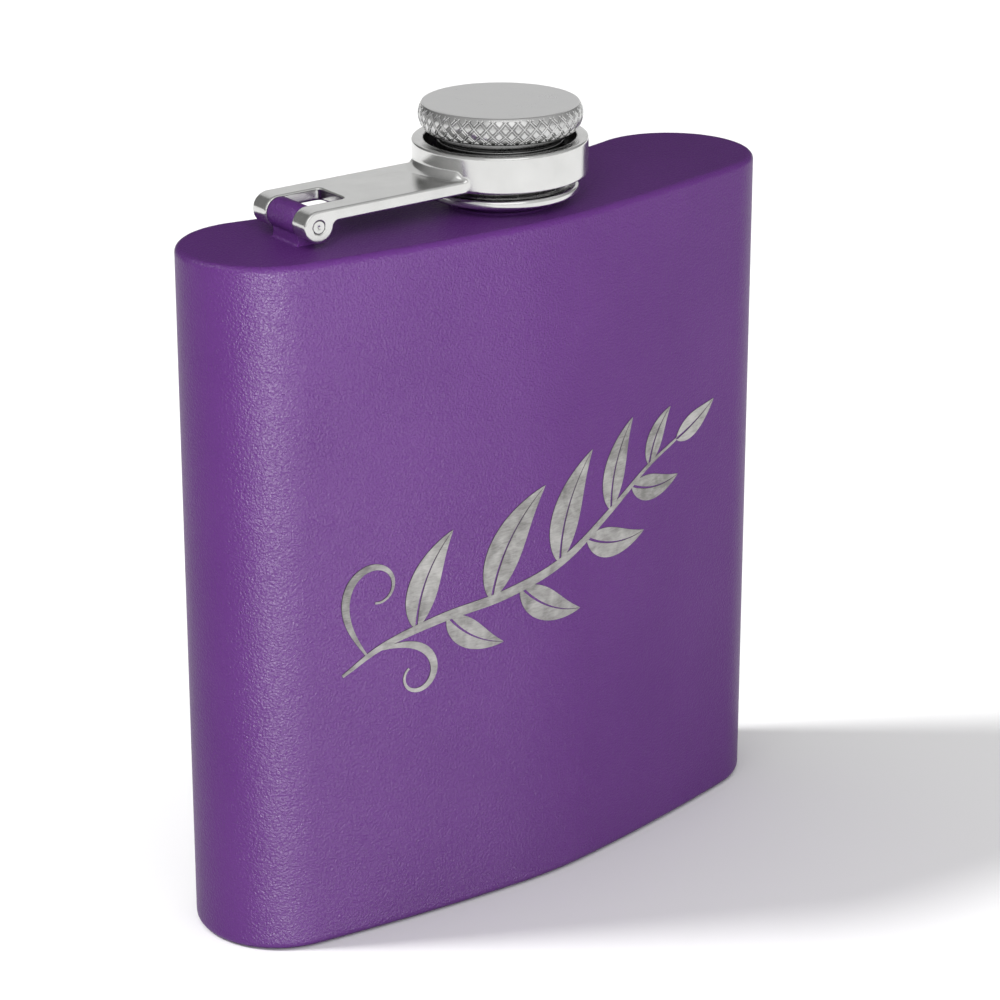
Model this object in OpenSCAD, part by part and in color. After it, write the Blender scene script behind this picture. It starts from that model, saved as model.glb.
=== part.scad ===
// Slim pocket hip flask with a captive screw cap on a swinging arm.
// Millimetres, +Z up. Origin: centre of the base outline, on the surface it stands on.
// Front face towards -Y, hinge at the -X end of the top, neck on the centre line.

/* [Body] */
// overall width of the body
body_w = 95; // [85:1:120]
// height of the body from base to top plate
body_h = 95.5; // [80:0.5:130]
// thickness of the body at its middle
body_t = 23.6; // [21:0.2:30]
// radius of the two rounded ends
end_r = 11.6; // [10.5:0.1:13]
// how far the ends sweep back behind the middle
end_sweep = 4.5; // [3:0.1:6]
// radius of the rounded ridge down the middle of the front
front_r = 67; // [50:1:90]
// half angle of that ridge, degrees
front_half_angle = 5.2; // [4.5:0.1:5.6]
// sheet thickness of the wrapped wall
wall_t = 0.6; // [0.4:0.1:1]
// sheet thickness of the top and bottom plates
plate_t = 0.8; // [0.6:0.1:1.2]
// depth of the welding lip that each plate pushes into the wall
lip_h = 3; // [2:0.5:6]

/* [Neck] */
// radius of the filling bore
neck_bore_r = 5.6; // [4.5:0.1:6]
// outer radius of the neck between its threads
neck_root_r = 6.55; // [6.4:0.05:6.6]
// outer radius of the thread crests
neck_crest_r = 6.9; // [6.8:0.05:7]
// height of the mouth above the top plate
neck_h = 8.15; // [7.5:0.05:8.15]
// radius of the foot flange welded to the top plate
neck_foot_r = 7.2; // [7:0.1:9]
// thickness of the foot flange
neck_foot_t = 0.3; // [0.2:0.1:0.8]
// distance from one thread to the next
thread_pitch = 1.5; // [1.2:0.1:1.8]

/* [Cap] */
// largest radius of the crowned, knurled head
head_r = 11; // [10.8:0.05:11.6]
// height of the head
head_h = 3.7; // [3:0.05:5]
// radius of the crown across the edge of the head
head_crown_r = 2.7; // [2.5:0.1:8]
// height of the head's underside above the top plate
head_z = 10.15; // [10.1:0.05:11]
// outer radius of the sleeve
sleeve_r = 8.5; // [8.3:0.05:8.6]
// bore of the sleeve between its threads
sleeve_bore_r = 7.65; // [7.55:0.05:7.7]
// radius at the crests of the sleeve's threads
sleeve_crest_r = 7.25; // [7.2:0.05:7.3]
// radius of the collar at the top of the sleeve
collar_r = 8.9; // [8.8:0.05:9.2]
// height of that collar
collar_h = 0.95; // [0.6:0.05:1.2]
// height of the sleeve's lower end above the top plate
sleeve_z = 1.5; // [1.2:0.1:1.8]
// radius of the retaining flange
flange_r = 10.5; // [10.3:0.05:10.6]
// thickness of the retaining flange
flange_t = 1.35; // [1:0.05:1.6]
// thickness of the silicone seal
seal_t = 1; // [0.8:0.1:1]

/* [Arm] */
// distance from the hinge pin to the neck's axis
arm_reach = 32.6; // [31:0.1:33.5]
// turn of the arm in plan, which puts its hinge in the middle of the swept-back end, degrees
arm_turn = 5.4; // [4:0.1:7]
// how far the arm is lifted with the cap screwed down, degrees
arm_tilt = 1; // [0:0.1:1.2]
// width of the arm across the ears
arm_w = 12.8; // [11.6:0.1:13]
// thickness of the flat bar
arm_t = 1.7; // [1.5:0.05:1.8]
// height of the bar's underside above the pin's axis
arm_rise = 0.45; // [0.4:0.05:0.6]
// outer radius of the captive ring
ring_r = 11.8; // [11.6:0.05:12.2]
// inner radius of the captive ring
ring_bore_r = 10.2; // [10:0.05:10.25]
// height of the captive ring
ring_h = 5; // [4.6:0.1:5.2]
// bore of the guide land inside the ring
land_r = 8.8; // [8.75:0.05:8.9]
// height of the guide land
land_h = 1.2; // [1:0.1:1.6]

/* [Hinge] */
// height of the pin's axis above the top plate
pin_z = 3.1; // [3:0.05:3.3]
// outer radius of the two ears
ear_r = 2.15; // [2.1:0.05:2.2]
// width of the slot between the ears
slot_w = 6.4; // [5.6:0.1:6.8]
// reach of the slot past the pin's axis
slot_reach = 6.2; // [5:0.1:8]
// radius of the slot's inner corners
slot_corner_r = 0.8; // [0.4:0.1:1.2]
// radius of the hinge pin
pin_r = 0.85; // [0.7:0.05:1]
// clearance between the pin and the knuckle bore, on the radius
pin_gap = 0.05; // [0.02:0.01:0.1]
// gap between the knuckle and each ear
side_gap = 0.15; // [0.1:0.05:0.3]
// outer radius of the knuckle
knuckle_r = 2; // [1.8:0.05:2.1]
// thickness of the knuckle's foot
foot_l = 2.3; // [2:0.1:3]
// radius of the fillets where the foot meets the top plate
foot_fillet_r = 0.5; // [0.3:0.1:0.8]
// radius of the fillet under each ear
ear_fillet_r = 0.8; // [0.5:0.1:1]

/* [Hidden] */
$fn = 96;
end_x = body_w / 2 - end_r;
back_y = end_sweep + end_r;
// everything on the neck's axis sits this far in front of the outline's centre
axis_y = (body_t / 2 - back_y) / 2;
inner_lip_t = 0.6;
// ridge circle down the front, and the wider flank circles that join it to the ends
ridge_c = [0, front_r - body_t / 2];
ridge_out = [sin(front_half_angle), -cos(front_half_angle)];
ridge_p = ridge_c + front_r * ridge_out;
end_c = [end_x, end_sweep];
ridge_d = ridge_p - end_c;
flank_r = (end_r * end_r - ridge_d * ridge_d) / (2 * (end_r - ridge_d * ridge_out));
flank_c = ridge_p - flank_r * ridge_out;
flank_out = (end_c - flank_c) / norm(end_c - flank_c);
// hollow back: one circle that touches both ends
back_h = body_t / 2 - end_sweep;
back_r = (end_x * end_x + back_h * back_h - end_r * end_r) / (2 * (end_r - back_h));
back_c = [0, body_t / 2 + back_r];
back_out = (back_c - end_c) / norm(back_c - end_c);
// thread ridge section
ridge_half = 0.45;
crest_half = 0.12;
thread_first = 2.7;
thread_count = 4;
mouth_round = 0.35;
flange_round = 0.55;
dish_depth = 0.3;
pin_x = -arm_reach;
arm_z = pin_z + arm_rise;
pin_len = arm_w - 0.1;
head_crown_z = head_h * 0.56;
spigot_h = 1;
seal_z = head_z - spigot_h - seal_t;
plate_hole_gap = 0.05;
eps = 0.01;

steel = [0.80, 0.80, 0.79];
satin = [0.72, 0.72, 0.71];
coat = [0.30, 0.17, 0.42];
raw = [0.62, 0.61, 0.60];
silicone = [0.86, 0.86, 0.84];

function flip(p) = [-p[0], p[1]];

// places children on the neck's axis at the level of the top plate
module on_top() {
  translate([0, axis_y, body_h]) children();
}

// places children in the arm's frame: x along the arm, z = 0 on the top plate
module on_arm() {
  on_top() rotate([0, 0, -arm_turn]) children();
}

// sliver between an arc and the chord from p to q, on the side that out points to
module arc_cap(c, r, p, q, out) {
  intersection() {
    translate(c) circle(r = r, $fn = 360);
    polygon([p, q, q + 3 * out, p + 3 * out]);
  }
}

// plan outline of the body, moved in by inset
module outline(inset) {
  p1 = ridge_c + (front_r - inset) * ridge_out;
  p2 = end_c + (end_r - inset) * flank_out;
  p3 = end_c + (end_r - inset) * back_out;
  translate([0, axis_y]) difference() {
    union() {
      for (side = [0, 1]) mirror([side, 0]) {
        translate(end_c) circle(r = end_r - inset);
        arc_cap(flank_c, flank_r - inset, p1, p2, [0, -1]);
      }
      polygon([p1, p2, end_c, p3, flip(p3), flip(end_c), flip(p2), flip(p1)]);
      arc_cap(ridge_c, front_r - inset, flip(p1), p1, [0, -1]);
    }
    translate(back_c) circle(r = back_r + inset, $fn = 360);
  }
}

module body_wall() {
  color(coat)
    translate([0, 0, plate_t])
      linear_extrude(body_h - 2 * plate_t)
        difference() {
          outline(0);
          outline(wall_t);
        }
}

// lip that a plate pushes into the wall for welding
module plate_lip() {
  linear_extrude(lip_h)
    difference() {
      outline(wall_t);
      outline(wall_t + inner_lip_t);
    }
}

module bottom_plate() {
  color(coat) {
    linear_extrude(plate_t) outline(0);
    translate([0, 0, plate_t]) plate_lip();
  }
}

module top_plate() {
  color(coat) difference() {
    union() {
      translate([0, 0, body_h - plate_t]) linear_extrude(plate_t) outline(0);
      translate([0, 0, body_h - plate_t - lip_h]) plate_lip();
    }
    on_top() translate([0, 0, -2 * plate_t])
      cylinder(r = neck_root_r + plate_hole_gap, h = 3 * plate_t);
  }
}

// ring-shaped thread ridge between two radii, centred on z = 0
module thread_ridge(root, crest) {
  rotate_extrude()
    polygon([[root, -ridge_half], [crest, -crest_half], [crest, crest_half], [root, ridge_half]]);
}

module neck() {
  color(raw) on_top() {
    difference() {
      union() {
        translate([0, 0, -plate_t]) cylinder(r = neck_root_r, h = plate_t + neck_h - mouth_round);
        cylinder(r = neck_foot_r, h = neck_foot_t);
        translate([0, 0, neck_h - mouth_round]) cylinder(r = neck_root_r - mouth_round, h = mouth_round);
        translate([0, 0, neck_h - mouth_round]) rotate_extrude()
          translate([neck_root_r - mouth_round, 0]) circle(r = mouth_round);
        for (i = [0:thread_count - 1])
          translate([0, 0, thread_first + i * thread_pitch])
            thread_ridge(neck_root_r - eps, neck_crest_r);
      }
      translate([0, 0, -2 * plate_t]) cylinder(r = neck_bore_r, h = neck_h + 3 * plate_t);
    }
  }
}

// side profile of the knuckle, drawn with x across the foot and y up from the top plate
module knuckle_profile() {
  r = foot_fillet_r;
  union() {
    translate([0, pin_z]) circle(r = knuckle_r);
    translate([-foot_l / 2, 0]) square([foot_l, pin_z]);
    difference() {
      translate([-foot_l / 2 - r, 0]) square([foot_l + 2 * r, r]);
      for (side = [-1, 1]) translate([side * (foot_l / 2 + r), r]) circle(r = r);
    }
  }
}

module hinge_lug() {
  lug_w = slot_w - 2 * side_gap;
  color(coat) on_arm() translate([pin_x, 0, 0])
    difference() {
      translate([0, lug_w / 2, 0]) rotate([90, 0, 0]) linear_extrude(lug_w) knuckle_profile();
      translate([0, lug_w, pin_z]) rotate([90, 0, 0]) cylinder(r = pin_r + pin_gap, h = 2 * lug_w);
    }
}

module hinge_pin() {
  dimple_r = 0.3;
  color(steel) on_arm() translate([pin_x, 0, pin_z]) rotate([90, 0, 0])
    difference() {
      translate([0, 0, -pin_len / 2]) cylinder(r = pin_r, h = pin_len);
      for (side = [-1, 1]) translate([0, 0, side * pin_len / 2]) sphere(r = dimple_r, $fn = 32);
    }
}

// side profile of the bar and ears, drawn with x along the arm and y up from the top plate
module arm_profile() {
  drop = arm_z - ear_fillet_r;
  run = sqrt(pow(ear_r + ear_fillet_r, 2) - pow(drop - pin_z, 2));
  union() {
    translate([pin_x, pin_z]) circle(r = ear_r);
    translate([pin_x, arm_z]) square([arm_reach - land_r - 1, arm_t]);
    difference() {
      polygon([[pin_x, pin_z], [pin_x + run, drop], [pin_x + run, arm_z + arm_t / 2], [pin_x, arm_z + arm_t / 2]]);
      translate([pin_x + run, drop]) circle(r = ear_fillet_r);
    }
  }
}

module arm_slot() {
  x1 = pin_x + slot_reach;
  r = slot_corner_r;
  linear_extrude(20) union() {
    translate([pin_x - 10, -slot_w / 2]) square([10 + slot_reach - r, slot_w]);
    translate([pin_x - 10, -slot_w / 2 + r]) square([10 + slot_reach, slot_w - 2 * r]);
    for (side = [-1, 1]) translate([x1 - r, side * (slot_w / 2 - r)]) circle(r = r);
  }
}

module arm() {
  land_z = 0.4;
  color(steel) on_arm()
  translate([pin_x, 0, pin_z]) rotate([0, -arm_tilt, 0]) translate([-pin_x, 0, -pin_z])
  difference() {
    union() {
      translate([0, arm_w / 2, 0]) rotate([90, 0, 0]) linear_extrude(arm_w) arm_profile();
      translate([0, 0, arm_z]) cylinder(r = ring_r, h = ring_h);
    }
    translate([0, 0, arm_z - 1]) cylinder(r = land_r, h = ring_h + 2);
    translate([0, 0, arm_z + land_z + land_h]) cylinder(r = ring_bore_r, h = ring_h);
    translate([0, 0, arm_z - 1]) cylinder(r = ring_bore_r, h = 1 + land_z);
    translate([0, 0, -5]) arm_slot();
    translate([pin_x, arm_w, pin_z]) rotate([90, 0, 0]) cylinder(r = pin_r, h = 2 * arm_w);
  }
}

module cap_knob() {
  color(satin) on_top() translate([0, 0, head_z]) {
    rotate_extrude() intersection() {
      square([head_r + 1, head_h]);
      union() {
        translate([head_r - head_crown_r, head_crown_z]) circle(r = head_crown_r);
        square([head_r - head_crown_r, head_h]);
      }
    }
    translate([0, 0, -spigot_h]) cylinder(r = sleeve_bore_r, h = spigot_h + eps);
  }
}

module cap_skirt() {
  groove_r = 8.2;
  groove_h = 0.3;
  groove_z = head_z - collar_h - groove_h;
  color(steel) on_top() difference() {
    union() {
      translate([0, 0, sleeve_z]) cylinder(r = sleeve_r, h = groove_z - sleeve_z);
      translate([0, 0, groove_z - eps]) cylinder(r = groove_r, h = groove_h + 2 * eps);
      translate([0, 0, head_z - collar_h]) cylinder(r = collar_r, h = collar_h);
    }
    difference() {
      translate([0, 0, sleeve_z - 1]) cylinder(r = sleeve_bore_r, h = head_z);
      for (i = [0:thread_count - 2])
        translate([0, 0, thread_first + (i + 0.5) * thread_pitch])
          thread_ridge(sleeve_bore_r + eps, sleeve_crest_r);
    }
  }
}

module retaining_flange() {
  r = flange_round;
  color(steel) on_top() translate([0, 0, sleeve_z]) difference() {
    union() {
      cylinder(r = flange_r - r, h = flange_t);
      translate([0, 0, r]) cylinder(r = flange_r, h = flange_t - 2 * r);
      for (z = [r, flange_t - r]) translate([0, 0, z]) rotate_extrude()
        translate([flange_r - r, 0]) circle(r = r);
    }
    translate([0, 0, -1]) cylinder(r = sleeve_r, h = flange_t + 2);
    translate([0, 0, flange_t - dish_depth]) cylinder(r1 = flange_r - 1.6, r2 = flange_r - 1.1, h = dish_depth + eps);
  }
}

module cap_seal() {
  color(silicone) on_top() translate([0, 0, seal_z])
    cylinder(r = sleeve_crest_r - 0.15, h = seal_t);
}

body_wall();
bottom_plate();
top_plate();
neck();
hinge_lug();
hinge_pin();
arm();
cap_knob();
cap_skirt();
retaining_flange();
cap_seal();
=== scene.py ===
"""Hip flask with a hinged screw cap: looks, floor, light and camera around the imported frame.

Lengths below are millimetres unless a name says otherwise. Meshes are written in metres.
"""
import math

import bmesh
import bpy
import numpy as np
from mathutils import Matrix, Vector
from mathutils.geometry import delaunay_2d_cdt

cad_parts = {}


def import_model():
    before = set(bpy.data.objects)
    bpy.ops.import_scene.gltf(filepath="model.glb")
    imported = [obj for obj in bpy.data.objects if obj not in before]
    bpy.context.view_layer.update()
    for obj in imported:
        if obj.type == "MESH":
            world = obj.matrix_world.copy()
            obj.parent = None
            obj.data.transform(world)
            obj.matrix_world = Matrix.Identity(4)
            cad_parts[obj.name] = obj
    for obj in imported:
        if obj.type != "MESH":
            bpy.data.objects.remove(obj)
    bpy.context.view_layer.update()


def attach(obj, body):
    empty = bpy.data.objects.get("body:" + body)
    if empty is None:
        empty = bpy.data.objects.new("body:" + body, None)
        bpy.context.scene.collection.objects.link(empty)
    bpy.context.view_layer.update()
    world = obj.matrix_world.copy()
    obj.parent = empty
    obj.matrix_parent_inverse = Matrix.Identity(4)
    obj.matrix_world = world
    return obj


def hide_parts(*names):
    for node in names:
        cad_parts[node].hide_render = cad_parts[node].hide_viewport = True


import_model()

MM = 0.001

# ---------------------------------------------------------------- sizes of the real pieces

BODY_W, BODY_T, BODY_H = 95.0, 23.6, 95.5
END_R, END_SWEEP = 11.6, 4.5
FRONT_R, FRONT_HALF_ANGLE = 67.0, math.radians(5.2)
WALL_T, PLATE_T = 0.6, 0.8
TOP_EDGE_R, BOTTOM_EDGE_R = 0.9, 1.1
AXIS_Y = (BODY_T / 2 - END_SWEEP - END_R) / 2

NECK_BORE_R, NECK_ROOT_R, NECK_CREST_R = 5.6, 6.55, 6.9
NECK_H, NECK_FOOT_R, NECK_FOOT_T = 8.15, 7.2, 0.3
PLATE_HOLE_R = 6.6
THREAD_PITCH = 1.5

HEAD_R, HEAD_H, HEAD_CROWN_R, HEAD_CROWN_Z, HEAD_Z = 11.0, 3.7, 2.7, 2.07, 10.15
SLEEVE_R, SLEEVE_BORE_R, SLEEVE_CREST_R, SLEEVE_Z = 8.5, 7.65, 7.25, 1.5
COLLAR_R, COLLAR_H = 8.9, 0.95
GROOVE_R, GROOVE_H = 8.2, 0.3
FLANGE_R, FLANGE_T, FLANGE_ROUND = 10.5, 1.35, 0.55
SEAL_R, SEAL_T = 7.1, 1.0
SPIGOT_H = 1.0

ARM_REACH, ARM_TURN, ARM_TILT = 32.6, math.radians(5.4), math.radians(1.0)
ARM_W, ARM_T, ARM_Z = 12.8, 1.7, 3.55
RING_R, RING_BORE_R, RING_H = 11.8, 10.2, 5.0
LAND_R, LAND_BOTTOM, LAND_TOP = 8.8, 3.95, 5.15
PIN_Z, PIN_R, PIN_LEN, EAR_R, EAR_FILLET_R = 3.1, 0.85, 12.7, 2.15, 0.8
SLOT_W, SLOT_REACH, SLOT_CORNER_R = 6.4, 6.2, 0.8
KNUCKLE_R, KNUCKLE_W, FOOT_L, FOOT_FILLET_R = 2.0, 6.1, 2.3, 0.5
PIN_BORE_R = 0.9


# ---------------------------------------------------------------- plane geometry

def arc(centre, radius, start, end, count):
    """count points from the angle start up to, not including, the angle end."""
    angles = start + (end - start) * np.arange(count) / count
    ring = np.column_stack([np.cos(angles), np.sin(angles)])
    return np.asarray(centre) + radius * ring


def angle_of(vector):
    """Direction of a plane vector, in radians from +x."""
    return math.atan2(vector[1], vector[0])


def unit(vector):
    return np.asarray(vector) / np.linalg.norm(vector)


def body_circles():
    """The circles that the body's kidney outline is made of, on its right half."""
    end_c = np.array([BODY_W / 2 - END_R, END_SWEEP])
    ridge_c = np.array([0.0, FRONT_R - BODY_T / 2])
    ridge_out = np.array([math.sin(FRONT_HALF_ANGLE), -math.cos(FRONT_HALF_ANGLE)])
    ridge_p = ridge_c + FRONT_R * ridge_out
    to_ridge = ridge_p - end_c
    flank_r = (END_R ** 2 - to_ridge @ to_ridge) / (2 * (END_R - to_ridge @ ridge_out))
    flank_c = ridge_p - flank_r * ridge_out
    back_h = BODY_T / 2 - END_SWEEP
    back_r = (end_c[0] ** 2 + back_h ** 2 - END_R ** 2) / (2 * (END_R - back_h))
    back_c = np.array([0.0, BODY_T / 2 + back_r])
    return {
        "ridge": (ridge_c, FRONT_R), "flank": (flank_c, flank_r), "end": (end_c, END_R),
        "back": (back_c, back_r), "ridge_x": ridge_p[0],
        "flank_out": unit(end_c - flank_c), "back_out": unit(back_c - end_c),
    }


CIRCLES = body_circles()


def body_outline(inset):
    """Plan outline of the body moved in by inset, counter-clockwise, always the same count."""
    half_ridge = FRONT_HALF_ANGLE
    down = -math.pi / 2
    ridge_c, ridge_r = CIRCLES["ridge"]
    flank_c, flank_r = CIRCLES["flank"]
    end_c, end_r = CIRCLES["end"]
    back_c, back_r = CIRCLES["back"]
    a_flank = angle_of(CIRCLES["flank_out"])
    a_back = angle_of(CIRCLES["back_out"])
    a_hollow = angle_of(-CIRCLES["back_out"])
    right = [
        arc(flank_c, flank_r - inset, down + half_ridge, a_flank, 26),
        arc(end_c, end_r - inset, a_flank, a_back, 56),
    ]
    hollow = arc(back_c, back_r + inset, a_hollow, -math.pi - a_hollow, 60)
    ridge = arc(ridge_c, ridge_r - inset, down - half_ridge, down + half_ridge, 14)
    flip = np.array([-1.0, 1.0])
    left_end = arc(end_c * flip, end_r - inset, math.pi - a_back, math.pi - a_flank, 56)
    left_flank = arc(flank_c * flip, flank_r - inset, -math.pi - a_flank, down - half_ridge, 26)
    outline = np.vstack([ridge, *right, hollow, left_end, left_flank])
    return outline + np.array([0.0, AXIS_Y])


def front_y(x):
    """Depth of the body's front face at x."""
    x = np.abs(np.asarray(x, float))
    ridge_c, ridge_r = CIRCLES["ridge"]
    flank_c, flank_r = CIRCLES["flank"]
    on_ridge = ridge_c[1] - np.sqrt(ridge_r ** 2 - np.minimum(x, ridge_r - 1) ** 2)
    on_flank = flank_c[1] - np.sqrt(flank_r ** 2 - (x - flank_c[0]) ** 2)
    return np.where(x < CIRCLES["ridge_x"], on_ridge, on_flank) + AXIS_Y


def rounded(corners, steps=6):
    """A closed polygon from (x, y, radius) corners, each turned into an arc of its radius.

    A support point close to both ends of each arc keeps the shading of flat stretches flat.
    """
    out = []
    count = len(corners)
    for i, (x, y, radius) in enumerate(corners):
        here = np.array([x, y], float)
        before = unit(np.array(corners[i - 1][:2], float) - here)
        after = unit(np.array(corners[(i + 1) % count][:2], float) - here)
        if radius <= 0:
            out.append(here)
            continue
        opening = math.acos(float(np.clip(before @ after, -1, 1)))
        reach = radius / math.tan(opening / 2)
        centre = here + unit(before + after) * radius / math.sin(opening / 2)
        start = angle_of(here + before * reach - centre)
        turn = angle_of(here + after * reach - centre) - start
        turn = (turn + math.pi) % (2 * math.pi) - math.pi
        support = 0.15 * radius
        out.append(here + before * (reach + support))
        for k in range(steps + 1):
            a = start + turn * k / steps
            out.append(centre + radius * np.array([math.cos(a), math.sin(a)]))
        out.append(here + after * (reach + support))
    return np.array(out)


# ---------------------------------------------------------------- meshes

def on_top(points):
    """Neck frame, with z = 0 on the top plate, to the row frame."""
    return np.asarray(points) + np.array([0.0, AXIS_Y, BODY_H])


def on_arm(points):
    """Arm frame, with x along the arm at no tilt, to the row frame."""
    turned = np.asarray(points) @ rotation_z(-ARM_TURN).T
    return on_top(turned)


def rotation_z(angle):
    c, s = math.cos(angle), math.sin(angle)
    return np.array([[c, -s, 0], [s, c, 0], [0, 0, 1.0]])


def tilted(points):
    """The arm's small tilt about its pin, in the arm frame."""
    c, s = math.cos(-ARM_TILT), math.sin(-ARM_TILT)
    turn = np.array([[c, 0, s], [0, 1, 0], [-s, 0, c]])
    pin = np.array([-ARM_REACH, 0, PIN_Z])
    return (np.asarray(points) - pin) @ turn.T + pin


def piece(name, points, faces, materials, body, nodes=(), sharp=32, face_material=None):
    """A mesh in millimetres becomes a piece that rides on a body and stands for CAD nodes."""
    mesh = bpy.data.meshes.new(name)
    mesh.from_pydata((np.asarray(points) * MM).tolist(), [], [list(map(int, f)) for f in faces])
    for material in materials:
        mesh.materials.append(material)
    if face_material is not None:
        mesh.polygons.foreach_set("material_index", face_material)
    work = bmesh.new()
    work.from_mesh(mesh)
    bmesh.ops.recalc_face_normals(work, faces=work.faces[:])
    work.to_mesh(mesh)
    work.free()
    mesh.shade_smooth()
    if sharp:
        mesh.set_sharp_from_angle(angle=math.radians(sharp))
    mesh.update()
    obj = bpy.data.objects.new(name, mesh)
    bpy.context.scene.collection.objects.link(obj)
    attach(obj, body)
    if nodes:
        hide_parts(*nodes)
    return obj


def lathe(section, segments):
    """Points and faces of a closed (r, z) section turned round the z axis.

    Section points on the axis become poles. The section runs counter-clockwise in (r, z).
    """
    section = np.asarray(section, float)
    angles = 2 * math.pi * np.arange(segments) / segments
    points, rings = [], []
    for r, z in section:
        if r < 1e-6:
            rings.append([len(points)] * segments)
            points.append((0.0, 0.0, z))
        else:
            rings.append(list(range(len(points), len(points) + segments)))
            points.extend((r * math.cos(a), r * math.sin(a), z) for a in angles)
    faces = []
    for i in range(len(rings)):
        low, high = rings[i], rings[(i + 1) % len(rings)]
        for k in range(segments):
            n = (k + 1) % segments
            loop = [low[k], low[n], high[n], high[k]]
            loop = list(dict.fromkeys(loop))
            if len(loop) > 2:
                faces.append(loop)
    return np.array(points), faces


def join(*parts):
    """Several (points, faces) as one."""
    points, faces, offset = [], [], 0
    for p, f in parts:
        points.append(np.asarray(p))
        faces.extend([i + offset for i in face] for face in f)
        offset += len(p)
    return np.vstack(points), faces


def strip(first, second):
    """Quads between two closed rings of the same length."""
    count = len(first)
    return [[first[k], first[(k + 1) % count], second[(k + 1) % count], second[k]]
            for k in range(count)]


def flat_fill(points, outer, holes, up):
    """Triangles between an outer ring of point indices and hole rings, all at one height."""
    index = list(outer) + [i for hole in holes for i in hole]
    plan = [Vector(points[i][:2]) for i in index]
    edges, start = [], 0
    for ring in [outer, *holes]:
        n = len(ring)
        edges += [(start + k, start + (k + 1) % n) for k in range(n)]
        start += n
    result = delaunay_2d_cdt(plan, edges, [], 1, 1e-7)
    origin = [ids[0] for ids in result[3]]
    corners = [Vector(p) for p in result[0]]
    hole_rings = [[points[i][:2] for i in hole] for hole in holes]
    outer_ring = [points[i][:2] for i in outer]
    faces = []
    for tri in result[2]:
        centre = sum((corners[i] for i in tri), Vector((0, 0))) / 3
        if not inside(centre, outer_ring) or any(inside(centre, h) for h in hole_rings):
            continue
        face = [index[origin[i]] for i in tri]
        a, b, c = (corners[i] for i in tri)
        counter = (b - a).cross(c - a) > 0
        faces.append(face if counter == up else face[::-1])
    return faces


def inside(p, ring):
    """Whether a point lies in a polygon, by counting crossings."""
    ring = np.asarray(ring)
    a, b = ring, np.roll(ring, -1, axis=0)
    spans = (a[:, 1] > p[1]) != (b[:, 1] > p[1])
    a, b = a[spans], b[spans]
    cross = a[:, 0] + (p[1] - a[:, 1]) * (b[:, 0] - a[:, 0]) / (b[:, 1] - a[:, 1])
    return bool(np.count_nonzero(cross > p[0]) % 2)


# ---------------------------------------------------------------- the flask's body

def edge_levels():
    """(inset, z) of the outer rings, from the bottom face up round both edges to the top."""
    levels = [(BOTTOM_EDGE_R + 2.5, 0.0), (BOTTOM_EDGE_R + 0.2, 0.0)]
    steps = 7
    for k in range(steps + 1):
        a = math.pi / 2 * k / steps
        levels.append((BOTTOM_EDGE_R * (1 - math.sin(a)), BOTTOM_EDGE_R * (1 - math.cos(a))))
    levels.append((0.0, BOTTOM_EDGE_R + 0.3))
    levels += [(0.0, z) for z in np.linspace(4, BODY_H - 4, 12)]
    levels.append((0.0, BODY_H - TOP_EDGE_R - 0.3))
    for k in range(steps + 1):
        a = math.pi / 2 * k / steps
        levels.append((TOP_EDGE_R * (1 - math.cos(a)), BODY_H - TOP_EDGE_R * (1 - math.sin(a))))
    levels += [(TOP_EDGE_R + 0.2, BODY_H), (TOP_EDGE_R + 1.5, BODY_H)]
    return levels


def flask_shell():
    """Outer skin with rounded edges and the hollow inside, joined at the neck's hole."""
    points, faces, rings = [], [], []

    def ring(plan, z):
        start = len(points)
        points.extend((x, y, z) for x, y in plan)
        rings.append(list(range(start, len(points))))
        return rings[-1]

    for inset, z in edge_levels():
        ring(body_outline(inset), z)
    for low, high in zip(rings, rings[1:]):
        faces += strip(low, high)
    bottom, top = rings[0], rings[-1]
    hole_plan = arc((0, AXIS_Y), PLATE_HOLE_R, 0, 2 * math.pi, 96)
    hole_top = ring(hole_plan, BODY_H)
    hole_low = ring(hole_plan, BODY_H - PLATE_T)
    cavity = body_outline(WALL_T)
    floor = ring(cavity, PLATE_T)
    ceiling = ring(cavity, BODY_H - PLATE_T)
    faces += flat_fill(points, bottom, [], up=False)
    faces += flat_fill(points, top, [hole_top], up=True)
    faces += strip(hole_top, hole_low)
    faces += strip(ceiling, floor)
    faces += flat_fill(points, floor, [], up=True)
    faces += flat_fill(points, ceiling, [hole_low], up=False)
    return points, faces


# ---------------------------------------------------------------- neck, thread and cap

def helix_wave(angle, z, start, turns):
    """Height, 0 to 1, of a helical thread ridge at (angle, z), fading out at its ends."""
    lead = angle / (2 * math.pi)
    phase = (z - start) / THREAD_PITCH - lead
    turn = np.clip(np.round(phase), 0, turns)
    off = np.abs(phase - turn) * THREAD_PITCH
    ridge = np.clip((0.45 - off) / 0.33, 0, 1)
    along = turn + lead
    fade = np.clip(np.minimum(along, turns + 0.5 - along) * 6, 0, 1)
    return ridge * ridge * (3 - 2 * ridge) * fade


def threaded_wall(root, crest, low, high, start, turns, segments=144, rows=90):
    """Rings of points on a cylinder wall that carries a helical thread."""
    angles = 2 * math.pi * np.arange(segments) / segments
    heights = np.linspace(low, high, rows)
    rings = []
    for z in heights:
        r = root + (crest - root) * helix_wave(angles, z, start, turns)
        rings.append(np.column_stack([r * np.cos(angles), r * np.sin(angles),
                                      np.full(segments, z)]))
    return rings


def circle_rings(section, segments=144):
    """Plain circular rings for (r, z) points."""
    angles = 2 * math.pi * np.arange(segments) / segments
    return [np.column_stack([r * np.cos(angles), r * np.sin(angles), np.full(segments, z)])
            for r, z in section]


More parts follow.
